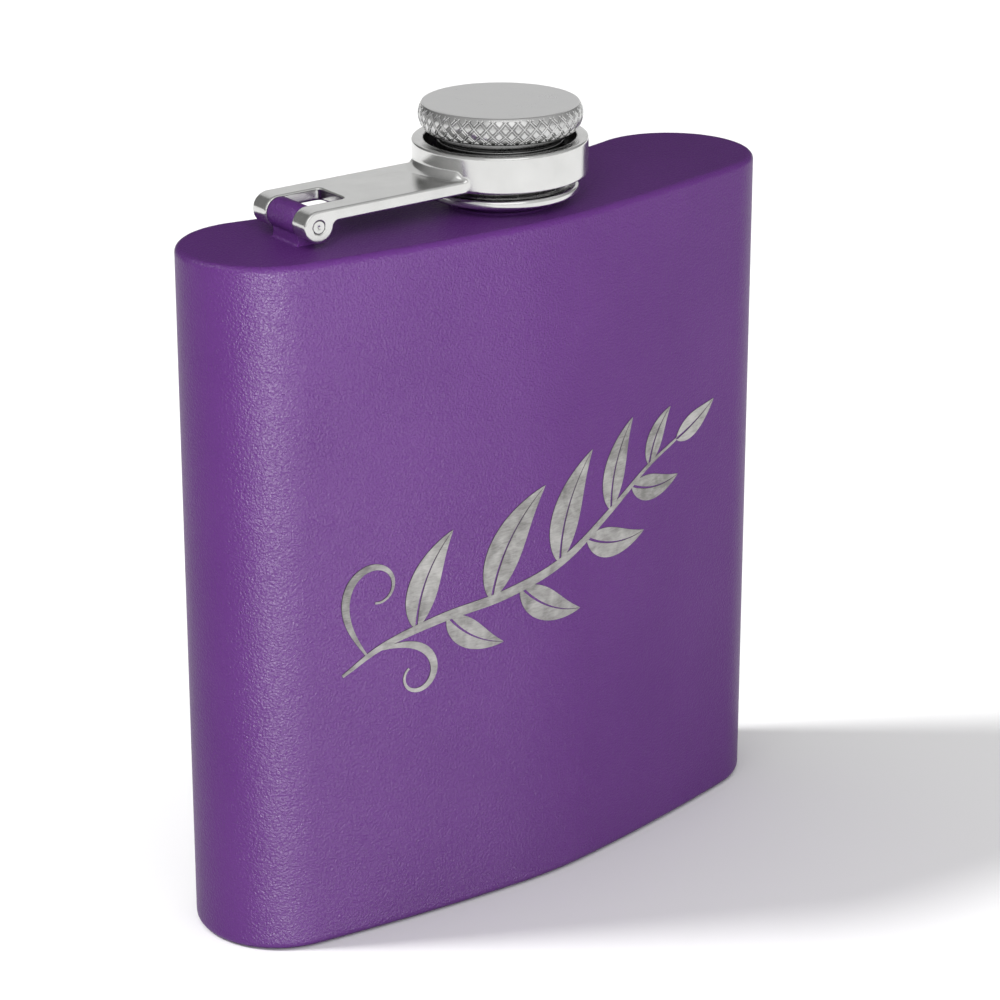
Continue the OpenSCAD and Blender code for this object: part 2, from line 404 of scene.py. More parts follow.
def tube_of_rings(rings):
    """Closed surface through rings of equal length, the last joined to the first."""
    count = len(rings[0])
    points = np.vstack(rings)
    faces = []
    for i in range(len(rings)):
        low = list(range(i * count, (i + 1) * count))
        j = (i + 1) % len(rings)
        high = list(range(j * count, (j + 1) * count))
        faces += strip(low, high)
    return points, faces


def bend(centre, radius, start, end, steps=5):
    """(r, z) points of a fillet, both ends included, angles in degrees."""
    a = np.radians(np.linspace(start, end, steps + 1))
    return [(centre[0] + radius * math.cos(t), centre[1] + radius * math.sin(t)) for t in a]


def neck_mesh():
    """Threaded spout with a rounded mouth, a foot washer on the top plate and a clear bore."""
    lip = 0.35
    foot = 0.12
    outer = circle_rings([(NECK_ROOT_R, -PLATE_T), (NECK_ROOT_R, 0.0), (NECK_FOOT_R, 0.0)]
                         + bend((NECK_FOOT_R - foot, NECK_FOOT_T - foot), foot, 0, 90)
                         + bend((NECK_ROOT_R + 0.25, NECK_FOOT_T + 0.25), 0.25, 270, 180))
    wall = threaded_wall(NECK_ROOT_R, NECK_CREST_R, 1.0, NECK_H - 0.6, 2.4, 3)
    mouth = circle_rings([(NECK_ROOT_R, NECK_H - 0.5)]
                         + bend((NECK_ROOT_R - lip, NECK_H - lip), lip, 0, 90)
                         + bend((NECK_BORE_R + lip, NECK_H - lip), lip, 90, 180)
                         + [(NECK_BORE_R, NECK_H - 1.0), (NECK_BORE_R, 3.0), (NECK_BORE_R, 0.2),
                            (NECK_BORE_R, -PLATE_T)])
    return tube_of_rings(outer + wall + mouth)


def skirt_mesh():
    """Sleeve with its collar and groove outside and the cap's thread inside."""
    top = HEAD_Z
    groove = top - COLLAR_H - GROOVE_H
    edge = 0.22
    outer = circle_rings(
        [(SLEEVE_BORE_R, SLEEVE_Z), (SLEEVE_BORE_R + 0.1, SLEEVE_Z)]
        + bend((SLEEVE_R - 0.1, SLEEVE_Z + 0.1), 0.1, 270, 360, 3)
        + [(SLEEVE_R, SLEEVE_Z + 2.0), (SLEEVE_R, groove - edge - 0.3)]
        + bend((SLEEVE_R - edge, groove - edge), edge, 0, 90)
        + [(GROOVE_R, groove), (GROOVE_R, groove + GROOVE_H)]
        + bend((COLLAR_R - edge, groove + GROOVE_H + edge), edge, 270, 360)
        + bend((COLLAR_R - edge, top - edge), edge, 0, 90)
        + [(SLEEVE_BORE_R + 0.02, top)])
    wall = threaded_wall(SLEEVE_BORE_R, SLEEVE_CREST_R, SLEEVE_Z + 0.3, top - 1.4, 3.15, 2)
    return tube_of_rings(outer + wall[::-1])


def flange_mesh():
    """Disc that keeps the cap in the ring: round rim and a shallow dish on top."""
    low, high, r = SLEEVE_Z, SLEEVE_Z + FLANGE_T, FLANGE_ROUND
    dish = 0.3
    section = [(SLEEVE_R, low), (SLEEVE_R + 0.4, low), (FLANGE_R - r - 0.15, low)]
    section += bend((FLANGE_R - r, low + r), r, 270, 360, 7)
    section += bend((FLANGE_R - r, high - r), r, 0, 90, 7)
    section += bend((FLANGE_R - 1.1, high - 0.08), 0.08, 90, 150, 3)
    section += [(FLANGE_R - 1.6, high - dish), (FLANGE_R - 1.75, high - dish),
                (SLEEVE_R + 0.05, high - dish)]
    section += [(SLEEVE_R, high - dish)]
    return lathe(section, 128)


def seal_mesh():
    """Soft washer with a raised sealing bead near its rim."""
    low = HEAD_Z - SPIGOT_H - SEAL_T
    high = HEAD_Z - SPIGOT_H - 0.02
    q = 0.18
    section = [(0, low + 0.1), (5.0, low + 0.1), (5.3, low + 0.08), (5.55, low),
               (6.6, low), (SEAL_R - q - 0.1, low)]
    section += bend((SEAL_R - q, low + q), q, 270, 360, 4)
    section += bend((SEAL_R - q, high - q), q, 0, 90, 4)
    section += [(5.5, high), (0, high)]
    return lathe(section, 96)


# The knurl is a grid of diamond cells. Fractions below are of one cell.
KNURL_CELLS, KNURL_CELL_H = 41, 1.9
KNURL_STEPS = 24  # mesh steps along and across a cell
KNURL_PHASE = 8 / 24
KNURL_PLAIN = 0.06  # plain stretch above the top row
GROOVE_DEPTH = 0.15
GROOVE_AT, GROOVE_HALF = 9 / 24, 1.6 / 24  # from a pad's middle, and half the groove's width
RIM_DROP = 0.22  # height of the small rim between the head's top and its knurl


def knurl_depth(u, v):
    """0 on a diamond pad or on a band, up to 1 in the fine groove round each pad."""
    a = np.abs((u + v) % 1.0 - 0.5)
    b = np.abs((u - v) % 1.0 - 0.5)
    off = np.abs(np.maximum(a, b) - GROOVE_AT)
    return np.clip(1 - off / GROOVE_HALF, 0, 1)


def head_side():
    """(r, z, outward r, outward z) of the rows down the crowned side of the cap's head."""
    centre = (HEAD_R - HEAD_CROWN_R, HEAD_CROWN_Z)
    top = math.asin((HEAD_H - RIM_DROP - HEAD_CROWN_Z) / HEAD_CROWN_R)
    low = -math.asin((HEAD_CROWN_Z - 0.12) / HEAD_CROWN_R)
    step = KNURL_CELL_H / KNURL_STEPS / HEAD_CROWN_R
    angles = np.linspace(top, low, int(round((top - low) / step)) + 1)
    return [(centre[0] + HEAD_CROWN_R * math.cos(t), centre[1] + HEAD_CROWN_R * math.sin(t),
             math.cos(t), math.sin(t)) for t in angles]


# Material slots of the knob's faces. The groove faces take the darkened steel, painted shade in
# the knurl's grooves.
SIDE_FACE, TOP_FACE, GROOVE_FACE = 0, 1, 2


def knob_rings(segments):
    """Rings of the head from its top to the spigot's foot, each with its groove depth, 0 to 1.

    The third value is how many of the rings belong to the flat top and its rim.
    """
    angles = 2 * math.pi * np.arange(segments) / segments
    side = head_side()
    rim_r, low_r = side[0][0], side[-1][0]
    plain = KNURL_PLAIN * KNURL_STEPS

    def ring(r, z):
        return np.column_stack([r * np.cos(angles), r * np.sin(angles),
                                z + np.zeros(segments)])

    rings = [ring(r, HEAD_H) for r in (4.0, 8.0, rim_r - 0.5, rim_r - 0.32)]
    rings += [ring(rim_r - 0.2, HEAD_H - 0.02), ring(rim_r - 0.08, HEAD_H - 0.09)]
    top_rings = len(rings)
    depths = [np.zeros(segments)] * top_rings
    for row, (r, z, out_r, out_z) in enumerate(side):
        edge = np.clip(min(row - plain, len(side) - 1 - plain / 2 - row), 0, 1)
        groove = knurl_depth(np.arange(segments) / KNURL_STEPS, row / KNURL_STEPS + KNURL_PHASE)
        sunk = -GROOVE_DEPTH * groove * edge
        rings.append(ring(r + sunk * out_r, z + sunk * out_z))
        depths.append(groove * edge)
    rings += [ring(low_r - 0.05, 0.05), ring(low_r - 0.16, 0.0), ring(low_r - 0.5, 0.0)]
    rings += [ring(SLEEVE_BORE_R + 0.4, 0.0), ring(SLEEVE_BORE_R - 0.02, 0.0)]
    rings += [ring(SLEEVE_BORE_R - 0.02, -SPIGOT_H), ring(3.0, -SPIGOT_H)]
    depths += [np.zeros(segments)] * (len(rings) - len(depths))
    return rings, depths, top_rings


def knob_mesh():
    """Head of the cap: flat top, small rim, diamond knurl round the crowned side, spigot.

    Also returns which of the three materials each face has: knurled steel, satin steel, and in
    the grooves steel darkened as painted shade.
    """
    segments = KNURL_CELLS * KNURL_STEPS
    rings, depths, top_rings = knob_rings(segments)
    points = np.vstack(rings)
    faces, which = [], []
    for i in range(len(rings) - 1):
        high = list(range(i * segments, (i + 1) * segments))
        low = list(range((i + 1) * segments, (i + 2) * segments))
        faces += strip(low, high)
        mean = (depths[i] + depths[i + 1]) / 2
        in_groove = mean + np.roll(mean, -1) > 0.9
        plain_face = TOP_FACE if i < top_rings - 1 else SIDE_FACE
        which += list(np.where(in_groove, GROOVE_FACE, plain_face))
    first = len(points)
    points = np.vstack([points, [[0, 0, HEAD_H], [0, 0, -SPIGOT_H]]])
    last = (len(rings) - 1) * segments
    for k in range(segments):
        n = (k + 1) % segments
        faces.append([first, k, n])
        faces.append([first + 1, last + n, last + k])
    which += [TOP_FACE, SIDE_FACE] * segments
    return points + np.array([0, 0, HEAD_Z]), faces, [int(w) for w in which]


# ---------------------------------------------------------------- hinge and arm

def knuckle_mesh():
    """Hinge lug: a knuckle on a flared foot, bored for the pin, with softened side edges."""
    r = FOOT_FILLET_R
    half = FOOT_L / 2
    rise = math.asin(half / KNUCKLE_R)
    profile = [(-half - r, 0.0)]
    profile += bend((-half - r, r), r, 270, 360, 6)[1:]
    turn = bend((0, PIN_Z), KNUCKLE_R, 270 - math.degrees(rise), -90 + math.degrees(rise), 40)
    profile += turn
    profile += bend((half + r, r), r, 180, 270, 6)
    profile = np.array(profile)
    bore = arc((0, PIN_Z), PIN_BORE_R, 0, 2 * math.pi, 32)
    return prism_with_bore(profile[::-1], bore, KNUCKLE_W, 0.22)


def prism_with_bore(profile, bore, width, edge):
    """A profile in (x, z), extruded along y, with a bore and bevelled side edges."""
    work = bmesh.new()
    sides = []
    for y in (-width / 2, width / 2):
        outer = [work.verts.new((x, y, z)) for x, z in profile]
        inner = [work.verts.new((x, y, z)) for x, z in bore]
        sides.append((outer, inner))
    (outer_a, inner_a), (outer_b, inner_b) = sides
    rims = []
    for a, b in ((outer_a, outer_b), (inner_a, inner_b)):
        for k in range(len(a)):
            n = (k + 1) % len(a)
            work.faces.new((a[k], a[n], b[n], b[k]))
    for outer, inner in sides:
        edges = []
        for ring in (outer, inner):
            for k in range(len(ring)):
                edges.append(work.edges.get((ring[k], ring[(k + 1) % len(ring)])))
        filled = bmesh.ops.triangle_fill(work, edges=edges, use_beauty=True)
        rims += edges
        bmesh.ops.dissolve_limit(work, angle_limit=0.01, edges=[
            e for e in filled["geom"] if isinstance(e, bmesh.types.BMEdge)],
            verts=[])
    bmesh.ops.recalc_face_normals(work, faces=work.faces[:])
    bottom = min(z for _, z in profile)
    lifted = [e for e in rims if e.is_valid
              and not all(abs(v.co.z - bottom) < 1e-6 for v in e.verts)]
    bmesh.ops.bevel(work, geom=lifted, offset=edge, offset_type="OFFSET", segments=4,
                    profile=0.5, affect="EDGES", clamp_overlap=True)
    work.verts.index_update()
    points = np.array([v.co[:] for v in work.verts])
    faces = [[v.index for v in f.verts] for f in work.faces]
    work.free()
    return points, faces


def pin_mesh():
    """Hinge pin along y, with chamfered ends and a centre dimple in each."""
    half = PIN_LEN / 2 - 0.02
    c = 0.08
    section = [(0, -half + 0.12), (0.1, -half + 0.1), (0.2, -half + 0.02), (0.25, -half),
               (PIN_R - c - 0.03, -half)]
    section += bend((PIN_R - c, -half + c), c, 270, 360, 4)
    section += [(PIN_R, -half + 0.4), (PIN_R, half - 0.4)]
    section += bend((PIN_R - c, half - c), c, 0, 90, 4)
    section += [(PIN_R - c - 0.03, half), (0.25, half), (0.2, half - 0.02),
                (0.1, half - 0.1), (0, half - 0.12)]
    points, faces = lathe(section, 48)
    along_y = np.column_stack([points[:, 0], points[:, 2], -points[:, 1]])
    return along_y + np.array([-ARM_REACH, 0, PIN_Z]), faces


def polygon_distance(polygon, x, y):
    """Signed distance, negative inside, of broadcast points (x, y) to a closed polygon."""
    x, y = np.broadcast_arrays(x, y)
    best = np.full(x.shape, np.inf)
    odd = np.zeros(x.shape, bool)
    for (ax, ay), (bx, by) in zip(polygon, np.roll(polygon, -1, axis=0)):
        ex, ey = bx - ax, by - ay
        wx, wy = x - ax, y - ay
        t = np.clip((wx * ex + wy * ey) / (ex * ex + ey * ey), 0, 1)
        best = np.minimum(best, (wx - t * ex) ** 2 + (wy - t * ey) ** 2)
        if ay != by:
            spans = (ay > y) != (by > y)
            odd ^= spans & (x < ax + (y - ay) * ex / ey)
    return np.where(odd, -1, 1) * np.sqrt(best)


def round_union(a, b, r):
    """Union of two shapes with a fillet of radius r where they meet."""
    u, v = np.maximum(r - a, 0), np.maximum(r - b, 0)
    return np.maximum(r, np.minimum(a, b)) - np.sqrt(u * u + v * v)


def round_both(a, b, r):
    """Intersection of two shapes whose new edges have radius r."""
    u, v = np.maximum(r + a, 0), np.maximum(r + b, 0)
    return np.minimum(-r, np.maximum(a, b)) + np.sqrt(u * u + v * v)


def arm_side_profile():
    """Bar and ears from the side, in (x, z)."""
    drop = ARM_Z - EAR_FILLET_R
    run = math.sqrt((EAR_R + EAR_FILLET_R) ** 2 - (drop - PIN_Z) ** 2)
    meet = math.degrees(math.atan2(drop - PIN_Z, run))
    ear = bend((-ARM_REACH, PIN_Z), EAR_R, 90, 360 + meet, 48)
    fillet = bend((-ARM_REACH + run, drop), EAR_FILLET_R, 180 + meet, 90, 10)[1:]
    return np.array(ear + fillet + [(-9.0, ARM_Z), (-9.0, ARM_Z + ARM_T)])


ARM_PROFILE = arm_side_profile()
RING_VOID = rounded([(-1, -2, 0), (RING_BORE_R, -2, 0), (RING_BORE_R, LAND_BOTTOM, 0.1),
                     (LAND_R, LAND_BOTTOM, 0.25), (LAND_R, LAND_TOP, 0.25),
                     (RING_BORE_R, LAND_TOP, 0.1), (RING_BORE_R, 14, 0), (-1, 14, 0)], 4)
RING_EDGE, BAR_EDGE, SLOT_EDGE, VOID_EDGE, HOLE_EDGE = 0.35, 0.22, 0.2, 0.16, 0.06
TOP_BLEND_R, SIDE_BLEND_R = 1.4, 0.45
PIN_GAP = 0.05


def arm_distance(x, y, z):
    """Distance-like field of the arm in its own untilted frame, negative inside."""
    side = polygon_distance(ARM_PROFILE, x, z)
    bar = round_both(side, np.abs(y) - ARM_W / 2, BAR_EDGE)
    radius = np.sqrt(x * x + y * y)
    height = np.abs(z - (ARM_Z + RING_H / 2)) - RING_H / 2
    ring = round_both(radius - RING_R, height, RING_EDGE)
    near_side = np.clip((np.abs(y) - ARM_W / 2 + 1.3) / 1.0, 0, 1)
    blend = TOP_BLEND_R + (SIDE_BLEND_R - TOP_BLEND_R) * near_side ** 2 * (3 - 2 * near_side)
    blend = blend * np.clip((z - ARM_Z) / 0.9, 0.02, 1)
    solid = round_union(bar, ring, blend)
    void = polygon_distance(RING_VOID, radius, z)
    solid = round_both(solid, -void, VOID_EDGE)
    x1 = -ARM_REACH + SLOT_REACH
    r = SLOT_CORNER_R
    qx, qy = x - (x1 - r), np.abs(y) - (SLOT_W / 2 - r)
    slot = (np.sqrt(np.maximum(qx, 0) ** 2 + np.maximum(qy, 0) ** 2)
            + np.minimum(np.maximum(qx, qy), 0) - r)
    solid = round_both(solid, -slot, SLOT_EDGE)
    hole = np.sqrt((x + ARM_REACH) ** 2 + (z - PIN_Z) ** 2) - (PIN_R + PIN_GAP)
    return round_both(solid, -hole, HOLE_EDGE)


def surface_net(field, low, high, step):
    """Quads along the zero level of a field, moved onto it by a few Newton steps."""
    axes = [np.arange(a, b + step, step) for a, b in zip(low, high)]
    x, y, z = np.meshgrid(*axes, indexing="ij", sparse=True)
    value = np.ascontiguousarray(np.broadcast_to(field(x, y, z), [len(a) for a in axes]))
    neg = value < 0
    shape = np.array(value.shape) - 1
    cell = np.zeros(shape, int)
    for dx in (0, 1):
        for dy in (0, 1):
            for dz in (0, 1):
                cell += neg[dx:dx + shape[0], dy:dy + shape[1], dz:dz + shape[2]]
    active = (cell > 0) & (cell < 8)
    number = np.full(shape, -1)
    number[active] = np.arange(active.sum())
    place = np.argwhere(active)
    points = np.array(low) + (place + 0.5) * step
    faces = []
    for axis in range(3):
        ahead = [slice(None)] * 3
        ahead[axis] = slice(1, None)
        behind = [slice(None)] * 3
        behind[axis] = slice(0, -1)
        crossing = neg[tuple(behind)] != neg[tuple(ahead)]
        at = np.argwhere(crossing)
        others = [a for a in range(3) if a != axis]
        keep = np.all([(at[:, o] > 0) & (at[:, o] < shape[o]) for o in others], axis=0)
        at = at[keep]
        inward = neg[tuple(behind)][tuple(at.T)]
        ids = []
        for du, dv in ((0, 0), (1, 0), (1, 1), (0, 1)):
            c = at.copy()
            c[:, others[0]] -= du
            c[:, others[1]] -= dv
            ids.append(number[tuple(c.T)])
        quad = np.column_stack(ids)
        flip = inward if axis != 1 else ~inward
        quad[~flip] = quad[~flip][:, ::-1]
        faces.append(quad)
    faces = np.vstack(faces)
    for _ in range(6):
        f, g = field_and_slope(field, points)
        move = f[:, None] * g / np.maximum((g * g).sum(1), 0.05)[:, None]
        points = points - np.clip(move, -step, step)
    return points, faces


def field_and_slope(field, points, h=0.01):
    """The field at points, and its gradient by central differences."""
    f = field(*points.T)
    slope = []
    for axis in range(3):
        ahead = points.copy()
        ahead[:, axis] += h
        behind = points.copy()
        behind[:, axis] -= h
        slope.append((field(*ahead.T) - field(*behind.T)) / (2 * h))
    return f, np.column_stack(slope)


def arm_mesh():
    """The arm's ears, slotted bar and ring as one skin with soft edges and blends."""
    step = 0.17
    low = (-ARM_REACH - EAR_R - 0.6, -RING_R - 0.6, PIN_Z - EAR_R - 0.6)
    high = (RING_R + 0.6, RING_R + 0.6, ARM_Z + RING_H + 0.6)
    return surface_net(arm_distance, low, high, step)


# ---------------------------------------------------------------- leaf sprig on the front

SPRIG_LIFT, SHADOW_LIFT, INLAY_DEPTH = 0.030, 0.012, 0.05  # proud of the coat, and in it
# Painted shadow of the coat's step: a dark copy of each stroke, set up and to the left of it.
SHADOW_SHIFT = (-0.09, 0.07)

def smooth_path(knots, count):
    """Catmull-Rom curve through the given knots, evenly spaced in length."""
    k = np.asarray(knots, float)
    k = np.vstack([2 * k[0] - k[1], k, 2 * k[-1] - k[-2]])
    out = []
    for i in range(1, len(k) - 2):
        t = np.linspace(0, 1, 24, endpoint=False)[:, None]
        p0, p1, p2, p3 = k[i - 1], k[i], k[i + 1], k[i + 2]
        out.append(0.5 * (2 * p1 + (p2 - p0) * t + (2 * p0 - 5 * p1 + 4 * p2 - p3) * t ** 2
                          + (3 * p1 - p0 - 3 * p2 + p3) * t ** 3))
    out.append(k[-2][None])
    path = np.vstack(out)
    run = np.concatenate([[0], np.cumsum(np.linalg.norm(np.diff(path, axis=0), axis=1))])
    even = np.linspace(0, run[-1], count)
    return np.column_stack([np.interp(even, run, path[:, 0]), np.interp(even, run, path[:, 1])])


def side_of(path):
    """Unit vectors to the left of a path at each of its points."""
    along = np.gradient(path, axis=0)
    along /= np.linalg.norm(along, axis=1)[:, None]
    return np.column_stack([-along[:, 1], along[:, 0]])


def stroke(path, widths):
    """Left and right edges of a stroke of varying width."""
    left = side_of(path)
    half = np.asarray(widths)[:, None] / 2
    return path + left * half, path - left * half


def leaf(base, angle, length, width, curl):
    """Two blades of a leaf, split by a fine midrib: each is a (left, right) pair of edges."""
    count = 26
    t = np.linspace(0, 1, count)
    turn = angle + curl * (t - 0.3)
    step = length / (count - 1)
    mid = np.vstack([[0, 0], np.cumsum(step * np.column_stack([np.cos(turn), np.sin(turn)])[:-1],
                                       axis=0)]) + np.asarray(base)
    left = side_of(mid)
    half = width / 2 * np.sin(math.pi * t ** 0.8) ** 0.9 * (1 - 0.25 * t)
    vein = np.minimum(0.17 * (1 - t) + 0.03, half * 0.8)
    return [(mid + left * half[:, None], mid + left * vein[:, None]),
            (mid - left * vein[:, None], mid - left * half[:, None])]


STEM = [(-34.0, 38.5), (-28.0, 41.5), (-19.0, 43.5), (-9.0, 44.5), (1.0, 47.0), (10.0, 51.5),
        (18.0, 56.0), (24.5, 58.5)]
LEAVES = [  # place along the stem, side, opening angle, length, width
    (0.20, 1, 62, 14.5, 5.2), (0.27, -1, 48, 11.0, 4.4), (0.39, 1, 60, 17.5, 6.2),
    (0.47, -1, 48, 12.5, 5.0), (0.58, 1, 56, 16.5, 5.8), (0.67, -1, 46, 12.5, 4.8),
    (0.76, 1, 50, 13.5, 4.8), (0.84, -1, 44, 10.5, 4.2), (0.91, 1, 42, 9.0, 3.6),
]
TENDRILS = [  # place along the stem, side, opening angle, length, whole turn of the curl
    (0.07, 1, 96, 24.0, -5.6), (0.10, -1, 20, 20.0, -5.8),
]


def tendril(base, angle, length, turn):
    """Path that leaves at an angle and curls up tighter and tighter towards its end."""
    t = np.linspace(0, 1, 80)
    heading = angle + turn * t ** 2.1
    steps = length / (len(t) - 1) * np.column_stack([np.cos(heading), np.sin(heading)])
    return np.asarray(base) + np.vstack([[0, 0], np.cumsum(steps, axis=0)[:-1]])


def sprig_strokes():
    """Edge pairs of every stroke of the sprig, in (x, z) on the front."""
    stem = smooth_path(STEM, 90)
    t = np.linspace(0, 1, len(stem))
    strokes = [stroke(stem, 0.4 + 1.0 * np.sin(math.pi * t ** 0.75) ** 1.2)]
    slope = np.gradient(stem, axis=0)
    heading = np.arctan2(slope[:, 1], slope[:, 0])
    for place, side, opening, length, width in LEAVES:
        i = int(place * (len(stem) - 1))
        angle = heading[i] + side * math.radians(opening)
        strokes += leaf(stem[i], angle, length, width, -side * 0.75)
    strokes += leaf(stem[-1], heading[-1], 9.5, 3.8, 0.3)
    for place, side, opening, length, turn in TENDRILS:
        i = int(place * (len(stem) - 1))
        path = tendril(stem[i], heading[i] + side * math.radians(opening), length, turn)
        t = np.linspace(0, 1, len(path))
        strokes.append(stroke(path, 0.3 + 0.85 * np.sin(math.pi * t ** 0.8) ** 2))
    return strokes


def inlay(strokes, height, shift=(0.0, 0.0)):
    """Thin solid bands on the curved front, one per stroke. Each stands a hair off the last."""
    points, faces = [], []
    for n, (left, right) in enumerate(strokes):
        start = len(points)
        lift = height + 0.0004 * n
        for a, b in zip(left + np.array(shift), right + np.array(shift)):
            for (x, z), out in ((a, lift), (b, lift), (b, -INLAY_DEPTH), (a, -INLAY_DEPTH)):
                points.append((x, float(front_y(x)) - out, z))
        count = len(left)
        for i in range(count - 1):
            p, q = start + 4 * i, start + 4 * (i + 1)
            for k in range(4):
                m = (k + 1) % 4
                faces.append([p + k, q + k, q + m, p + m])
        faces.append([start, start + 1, start + 2, start + 3])
        end = start + 4 * (count - 1)
        faces.append([end + 3, end + 2, end + 1, end])
    return np.array(points), faces


# ---------------------------------------------------------------- materials

class Shader:
    """A material's node tree, with short ways to add the nodes used here."""

    def __init__(self, name):
        self.material = bpy.data.materials.new(name)
        self.material.use_nodes = True
        self.tree = self.material.node_tree
        self.surface = self.tree.nodes["Principled BSDF"]
        self.place = self.tree.nodes.new("ShaderNodeTexCoord").outputs["Object"]

    def set(self, **values):
        for name, value in values.items():
            self.surface.inputs[name.replace("_", " ")].default_value = value

    def link(self, source, socket):
        self.tree.links.new(source, self.surface.inputs[socket])

    def stretched(self, x, y, z):
        """Object coordinates scaled per axis, for grain that runs one way."""
        node = self.tree.nodes.new("ShaderNodeMapping")
        node.inputs["Scale"].default_value = (x, y, z)
        self.tree.links.new(self.place, node.inputs["Vector"])
        return node.outputs["Vector"]

    def noise(self, scale, detail=3.0, roughness=0.5, distortion=0.0, vector=None):
        node = self.tree.nodes.new("ShaderNodeTexNoise")
        node.inputs["Scale"].default_value = scale
        node.inputs["Detail"].default_value = detail
        node.inputs["Roughness"].default_value = roughness
        node.inputs["Distortion"].default_value = distortion
        self.tree.links.new(vector or self.place, node.inputs["Vector"])
        return node.outputs["Fac"]

    def remap(self, source, low, high, to_low, to_high):
        node = self.tree.nodes.new("ShaderNodeMapRange")
        for name, value in (("From Min", low), ("From Max", high),
                            ("To Min", to_low), ("To Max", to_high)):
            node.inputs[name].default_value = value
        self.tree.links.new(source, node.inputs["Value"])
        return node.outputs["Result"]

    def add(self, a, b, weight):
        node = self.tree.nodes.new("ShaderNodeMath")
        node.operation = "MULTIPLY_ADD"
        self.tree.links.new(b, node.inputs[0])
        node.inputs[1].default_value = weight
        self.tree.links.new(a, node.inputs[2])
        return node.outputs["Value"]

    def mix(self, factor, a, b):
        node = self.tree.nodes.new("ShaderNodeMix")
        node.data_type = "RGBA"
        self.tree.links.new(factor, node.inputs["Factor"])
        node.inputs["A"].default_value = (*a, 1)
        node.inputs["B"].default_value = (*b, 1)
        return node.outputs["Result"]

    def bump(self, height, distance):
        node = self.tree.nodes.new("ShaderNodeBump")
        node.inputs["Strength"].default_value = 1.0
        node.inputs["Distance"].default_value = distance
        self.tree.links.new(height, node.inputs["Height"])
        self.link(node.outputs["Normal"], "Normal")


def purple_coat():
    """Baked powder coat: satin, with a fine wrinkle and slight colour drift."""
    s = Shader("purple_powder_coat")
    drift = s.remap(s.noise(60, 2), 0.3, 0.7, 0, 1)
    s.link(s.mix(drift, (0.086, 0.020, 0.147), (0.095, 0.024, 0.159)), "Base Color")
    wrinkle = s.noise(3300, 1.0, 0.5, 0.5)
    grain = s.noise(6800, 2.0, 0.6)
    s.link(s.remap(grain, 0.3, 0.7, 0.33, 0.43), "Roughness")
    s.bump(s.add(wrinkle, grain, 0.12), 0.00013)
    s.set(Specular_IOR_Level=0.12)
    return s.material


def steel(name, dark, light, rough_low, rough_high, scratch):
    """Metal whose fine scratches and clouding vary its gloss and colour a little."""
    s = Shader(name)
    s.set(Metallic=1.0)
    cloud = s.noise(240, 4, 0.6)
    s.link(s.mix(s.remap(cloud, 0.3, 0.7, 0, 1), dark, light), "Base Color")
    fine = s.noise(5200, 3, 0.6, 0.4)
    s.link(s.remap(s.add(cloud, fine, 0.5), 0.45, 1.05, rough_low, rough_high), "Roughness")
    s.bump(fine, scratch)
    return s.material


def engraved_steel():
    """Steel bared by the engraving: soft wavy brushing across the flask."""
    s = Shader("engraved_steel")
    s.set(Metallic=1.0)
    grain = s.noise(1.0, 4, 0.6, 0.9, s.stretched(700, 700, 3800))
    cloud = s.noise(520, 3, 0.5, 0.5)
    both = s.add(cloud, grain, 0.9)
    patches = s.add(both, s.noise(75, 1), 0.9)
    s.link(s.mix(s.remap(patches, 1.1, 1.85, 0, 1), (0.22, 0.216, 0.208), (0.56, 0.55, 0.535)),
           "Base Color")
    s.link(s.remap(grain, 0.3, 0.7, 0.36, 0.5), "Roughness")
    s.bump(both, 0.00003)
    return s.material


def painted_recess_shadow():
    """Dark painted shadow of the step where the coat ends at the engraving."""
    s = Shader("painted_recess_shadow_on_coat")
    s.link(s.mix(s.noise(2600, 2), (0.030, 0.014, 0.040), (0.060, 0.035, 0.060)), "Base Color")
    s.link(s.remap(s.noise(4000, 2), 0.3, 0.7, 0.6, 0.8), "Roughness")
    return s.material


def silicone():
    """Milky silicone of the washer, with a faint moulding texture."""
    s = Shader("milky_silicone")
    s.link(s.mix(s.noise(300, 3), (0.70, 0.70, 0.67), (0.78, 0.78, 0.76)), "Base Color")
    s.link(s.remap(s.noise(1800, 3), 0.3, 0.7, 0.42, 0.58), "Roughness")
    s.bump(s.noise(2600, 3), 0.00002)
    s.set(Subsurface_Weight=0.2, Subsurface_Scale=0.001)
    return s.material


def floor_paper():
    """Plain white studio paper."""
    s = Shader("studio_paper")
    s.link(s.mix(s.noise(9, 2), (0.86, 0.86, 0.86), (0.875, 0.875, 0.875)), "Base Color")
    s.set(Roughness=0.9, Specular_IOR_Level=0.1)
    return s.material


# ---------------------------------------------------------------- the object

